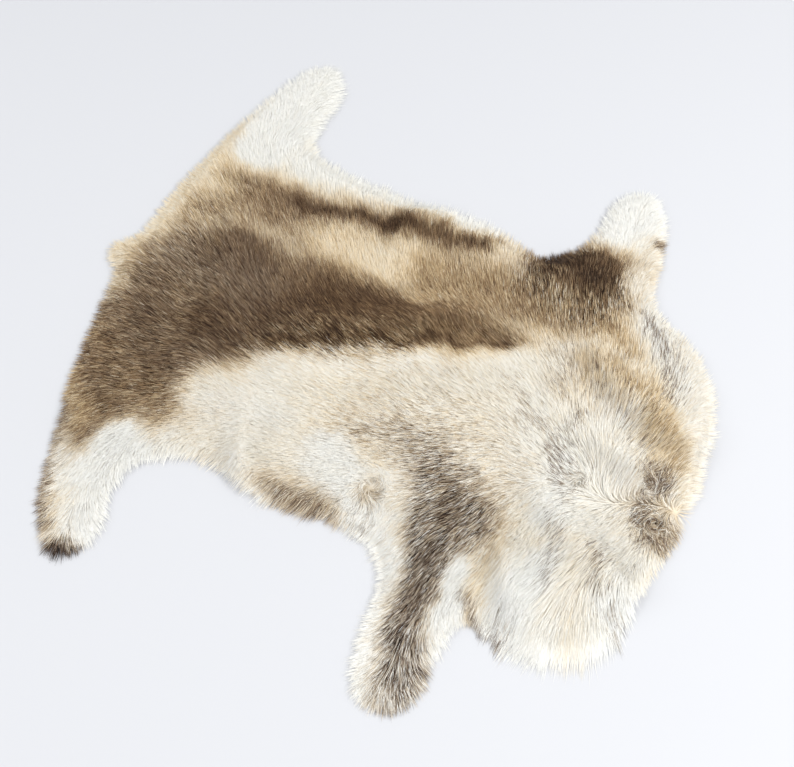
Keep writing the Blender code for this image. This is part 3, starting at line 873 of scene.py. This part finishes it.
# Painted shade: each hair is darker toward its root, as shade deep in the pile, and paler at its
# tip
ROOT_PAINTED_SHADE = 0.065
TIP_GAIN = 0.10
WARMTH_SPREAD = 0.12
BLACK = 0.15
BLACK_FROM, BLACK_OVER = 0.4, 0.4  # along a black-tipped hair
BLACK_COOLER = 0.4
BLACK_STREAK = 0.010
EVENED = 1.7  # turns a spread of 1 into even numbers from 0 to 1
WARMTHS = (0.03, 0.97)
BLACK_APART, BAKE_APART = 0.02, 0.004  # between a hair's two sides on its colour map


def roots(spacing, draw):
    """Places for hairs all over the skin, about this far apart."""
    x, y = np.meshgrid(np.arange(-NET_X, NET_X, spacing), np.arange(-NET_Y, NET_Y, spacing))
    x = (x + draw.uniform(-0.5, 0.5, x.shape) * spacing).ravel()
    y = (y + draw.uniform(-0.5, 0.5, y.shape) * spacing).ravel()
    kept = read(inside, x, y) > CUT_INSIDE - HAIR_PAST_SKIN
    return x[kept], y[kept]


def tuft_of(x, y, size, seed):
    """For each place, its tuft's middle and the tuft's own four random numbers from -1 to 1."""
    best = np.full(x.shape, np.inf)
    middle_x, middle_y = x.copy(), y.copy()
    own = np.zeros((4, *x.shape))
    cell_x, cell_y = np.floor(x / size).astype(int), np.floor(y / size).astype(int)
    table = np.random.default_rng(seed).uniform(-1, 1, (6, CELLS, CELLS))
    for i in (-1, 0, 1):
        for j in (-1, 0, 1):
            draws = table[:, (cell_x + i) % CELLS, (cell_y + j) % CELLS]
            at_x = (cell_x + i + 0.5 + TUFT_OFF * draws[0]) * size
            at_y = (cell_y + j + 0.5 + TUFT_OFF * draws[1]) * size
            far = (x - at_x) ** 2 + (y - at_y) ** 2
            near = far < best
            best = np.where(near, far, best)
            middle_x, middle_y = np.where(near, at_x, middle_x), np.where(near, at_y, middle_y)
            own = np.where(near, draws[2:], own)
    return middle_x, middle_y, own


def combed(x, y, half, width, seed):
    """A number for each hair, with a spread of 1, like that of the hairs in line with it.

    half is how far off along the lie they still count, and width is the width of the line.
    """
    grain = np.random.default_rng(seed).normal(size=(CELLS, CELLS))
    total = np.zeros(x.shape)
    for way in (-1, 1):
        a, b = x, y
        for _ in range(round(half / width)):
            a, b = a + way * width * read(lie_x, a, b), b + way * width * read(lie_y, a, b)
            total += grain[(a // width).astype(int) % CELLS, (b // width).astype(int) % CELLS]
    return total / total.std()


def walk(x, y, length, turn, steps):
    """Follows the lie of the hair from each root. It returns the places passed, root first."""
    track = [(x, y)]
    cos, sin = np.cos(turn), np.sin(turn)
    for _ in range(steps):
        way_x, way_y = read(lie_x, x, y), read(lie_y, x, y)
        size = np.hypot(way_x, way_y) + TINY
        way_x, way_y = way_x / size, way_y / size
        x = x + length / steps * (way_x * cos - way_y * sin)
        y = y + length / steps * (way_x * sin + way_y * cos)
        track.append((x, y))
    return track


def blades(name, x, y, length, width, steps, seed):
    """Grows one tapered blade of hair from each root, as one mesh."""
    draw = np.random.default_rng(seed)
    count = len(x)
    tuft_x, tuft_y, own = tuft_of(x, y, FINE_TUFT, 3)
    _, _, broad = tuft_of(x, y, BROAD_TUFT, 4)
    pull = read(tufting, x, y) * draw.uniform(*DRAWN, count)
    lean = read(tangle, x, y) * (own[0] + broad[0])
    turn = lean + np.radians(draw.normal(0, STRAY, count))
    longer = FINE_LENGTH * own[1] + BROAD_LENGTH * broad[1]
    length = length * (1 + longer + draw.uniform(*HAIR_LENGTH, count))
    track = walk(x, y, length, turn, steps)
    tuft_track = walk(tuft_x, tuft_y, length, lean, steps)
    level = TIP_LEVEL + FINE_LEVEL * own[2] + BROAD_LEVEL * broad[2]
    level += COMBED_LEVEL * combed(x, y, LEVEL_STREAK, STREAK, 11)
    level -= SINK * draw.uniform(0, 1, count) ** 2
    reached = []
    for k, ((a, b), (c, d)) in enumerate(zip(track, tuft_track)):
        share = k / steps
        drawn = pull * share**DRAWN_LATE
        a, b = a + (c - a) * drawn, b + (d - b) * drawn
        climbed = math.sin(share * math.pi / 2) ** RISES_EARLY
        rise = LEVEL_AT_ROOT + (LEVEL_AT_TIP - LEVEL_AT_ROOT) * climbed
        z = read(ground, a, b) + read(pile, a, b) * rise * (1 + (level - 1) * share)
        reached.append(np.column_stack((a, b, np.maximum(z, FLOOR_GAP))))
    spin = draw.uniform(-ROLL, ROLL, count)
    places = np.empty((count, 2 * steps + 1, 3))
    for k in range(steps):
        along = reached[k + 1] - reached[max(k - 1, 0)]
        along /= np.linalg.norm(along, axis=1)[:, None] + TINY
        side = np.column_stack((-along[:, 1], along[:, 0], np.zeros(count)))
        side /= np.linalg.norm(side, axis=1)[:, None] + TINY
        upward = np.cross(side, -along)
        side = side * np.cos(spin)[:, None] + upward * np.sin(spin)[:, None]
        half = side * (width * (1 - TAPER * (k / steps) ** 2) / 2)[:, None]
        places[:, 2 * k] = reached[k] - half
        places[:, 2 * k + 1] = reached[k] + half
    places[:, -1] = reached[-1]
    places[:, :, 2] = np.maximum(places[:, :, 2], FLOOR_GAP)
    quads = [[2 * k, 2 * k + 1, 2 * k + 3, 2 * k + 2] for k in range(steps - 1)]
    tip = [2 * steps - 2, 2 * steps - 1, 2 * steps]
    pattern = np.array([i for q in quads for i in q] + tip)
    corners = (np.arange(count)[:, None] * (2 * steps + 1) + pattern).ravel()
    sizes = np.tile([4] * (steps - 1) + [3], count)
    made = mesh_object(name, places.reshape(-1, 3), corners, sizes)
    made.data.shade_smooth()
    own = FINE_COLOUR * own + BROAD_COLOUR * broad
    colour_blades(made, x, y, own, steps, pattern, draw)
    return made


def colour_blades(made, x, y, own, steps, pattern, draw):
    """Gives each blade its shade and warmth, from root to tip. own is its tuft's random numbers."""
    count = len(x)
    pale = read(shade, x, y)
    mottle = TUFT_MOTTLE * own[3] + draw.normal(0, HAIR_MOTTLE, count)
    for part in MOTTLES:
        mottle += part.size * combed(x, y, part.half_length, part.width, part.seed)
    mottle *= read(contrast, x, y)
    pale += mottle * np.interp(pale, MOTTLED_SHADES, MOTTLED_SHARES)
    pale = np.clip(pale, DARKEST, PALEST)[:, None]
    warm = read(warmth, x, y) + WARMTH_SPREAD * own[0] + draw.normal(0, WARMTH_SPREAD, count)
    rank = 1 / (1 + np.exp(-EVENED * combed(x, y, BLACK_STREAK, STREAK, 13)))
    black = rank < read(grizzle, x, y)
    share = np.append(np.repeat(np.arange(steps) / steps, 2), 1.0)
    side = np.append(np.tile([-1.0, 1.0], steps), 0.0)
    # painted shade: darker roots and paler tips stand in for the shade deep in the pile
    pale = np.maximum(pale + (share * TIP_GAIN - ROOT_PAINTED_SHADE)[None, :], DARKEST)
    dip = np.clip((share - BLACK_FROM) / BLACK_OVER, 0, 1)[None, :] * black[:, None]
    pale = pale + (BLACK + BLACK_APART * side - pale) * dip
    warm = np.clip(warm[:, None] - BLACK_COOLER * dip, *WARMTHS) + BAKE_APART * side[None, :]
    hold(made, "shade", pale.ravel())
    hold(made, "warmth", warm.ravel())
    bake = made.data.uv_layers.new(name="OFBake")
    spots = np.stack((pale[:, pattern], warm[:, pattern]), axis=-1)
    bake.data.foreach_set("uv", np.ascontiguousarray(spots, np.float32).ravel())


Region = namedtuple("Region", "name x_from x_to y_from y_to joints")
REGIONS = (
    Region("rump_hair", -0.80, -0.405, -0.80, 0.80, 2),
    Region("loin_hair", -0.405, -0.195, -0.80, 0.80, 2),
    Region("back_hair", -0.195, 0.010, -0.80, 0.80, 2),
    Region("withers_hair", 0.010, 0.215, -0.80, 0.80, 2),
    Region("shoulder_hair", 0.215, 0.365, -0.80, 0.80, 2),
    Region("neck_hair", 0.365, 0.80, -0.03, 0.80, 3),
    Region("mane_hair", 0.365, 0.80, -0.80, -0.03, 3),
)
hair = hair_finish("hair", HAIR_ROUGHNESS)
root_x, root_y = roots(HAIR_APART, np.random.default_rng(5))
for index, region in enumerate(REGIONS):
    here = (root_x >= region.x_from) & (root_x < region.x_to)
    here &= (root_y >= region.y_from) & (root_y < region.y_to)
    x, y = root_x[here], root_y[here]
    long = read(hair_length, x, y)
    wide = HAIR_WIDTH * np.clip(long / BODY_HAIR, *WIDTHS)
    piece = blades(region.name, x, y, long, wide, region.joints, 100 + index)
    piece.data.materials.append(hair)
    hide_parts("hide")
    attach(piece, "root")

# ---------------------------------------------------------------------------------------------
# The floor, the lights and the camera. The floor is one wide painted sheet. A large window lamp
# stands to the right, a wider one fills in from the left, and a weak one hangs overhead.
# ---------------------------------------------------------------------------------------------
FLOOR_SIZE = 40.0
FLOOR_PAINT = (0.61, 0.616, 0.632, 1.0)
bpy.ops.object.select_all(action="DESELECT")
bpy.ops.mesh.primitive_plane_add(size=FLOOR_SIZE)
floor = bpy.context.object
floor.name = "floor"
paint = Finish("floor_paint")
paint.shine(Base_Color=FLOOR_PAINT, Roughness=0.7)
floor.data.materials.append(paint.material)

VIEW_AZIMUTH = 25.0
VIEW_ELEVATION = 65.0
VIEW_DISTANCE = 3.0
VIEW_TARGET = Vector((0.018, -0.019, 0.02))
PHOTO_WIDTH = 794
FOCUS_PIXELS = 1500
SENSOR = 36.0


def direction(azimuth, elevation):
    """From the middle of the hide towards a viewer or a light."""
    a, e = math.radians(azimuth), math.radians(elevation)
    return Vector((math.sin(a) * math.cos(e), -math.cos(a) * math.cos(e), math.sin(e)))


def face(thing, target):
    """Turns a camera or a light towards the target."""
    thing.rotation_euler = (thing.location - target).to_track_quat("Z", "Y").to_euler()


eye = VIEW_TARGET + VIEW_DISTANCE * direction(VIEW_AZIMUTH, VIEW_ELEVATION)
bpy.ops.object.camera_add(location=eye)
camera = bpy.context.object
face(camera, VIEW_TARGET)
camera.data.sensor_width = SENSOR
camera.data.lens = FOCUS_PIXELS * SENSOR / PHOTO_WIDTH
bpy.context.scene.camera = camera

Lamp = namedtuple("Lamp", "name azimuth elevation distance size watts")
LAMPS = (
    Lamp("window", 98, 42, 6.0, 2.7, 300),
    Lamp("fill", -60, 44, 5.8, 4.0, 150),
    Lamp("top", 20, 80, 5.0, 4.0, 38),
)
for lamp in LAMPS:
    spot = lamp.distance * direction(lamp.azimuth, lamp.elevation)
    bpy.ops.object.light_add(type="AREA", location=spot)
    light = bpy.context.object
    light.name = lamp.name
    light.data.size = lamp.size
    light.data.energy = lamp.watts
    face(light, Vector((0, 0, 0)))

SKY = (0.93, 0.95, 1.0, 1.0)
SKY_STRENGTH = 0.525
world = bpy.data.worlds.new("studio")
world.use_nodes = True
background = world.node_tree.nodes["Background"]
background.inputs["Color"].default_value = SKY
background.inputs["Strength"].default_value = SKY_STRENGTH
bpy.context.scene.world = world
bpy.context.scene.view_settings.view_transform = "Standard"
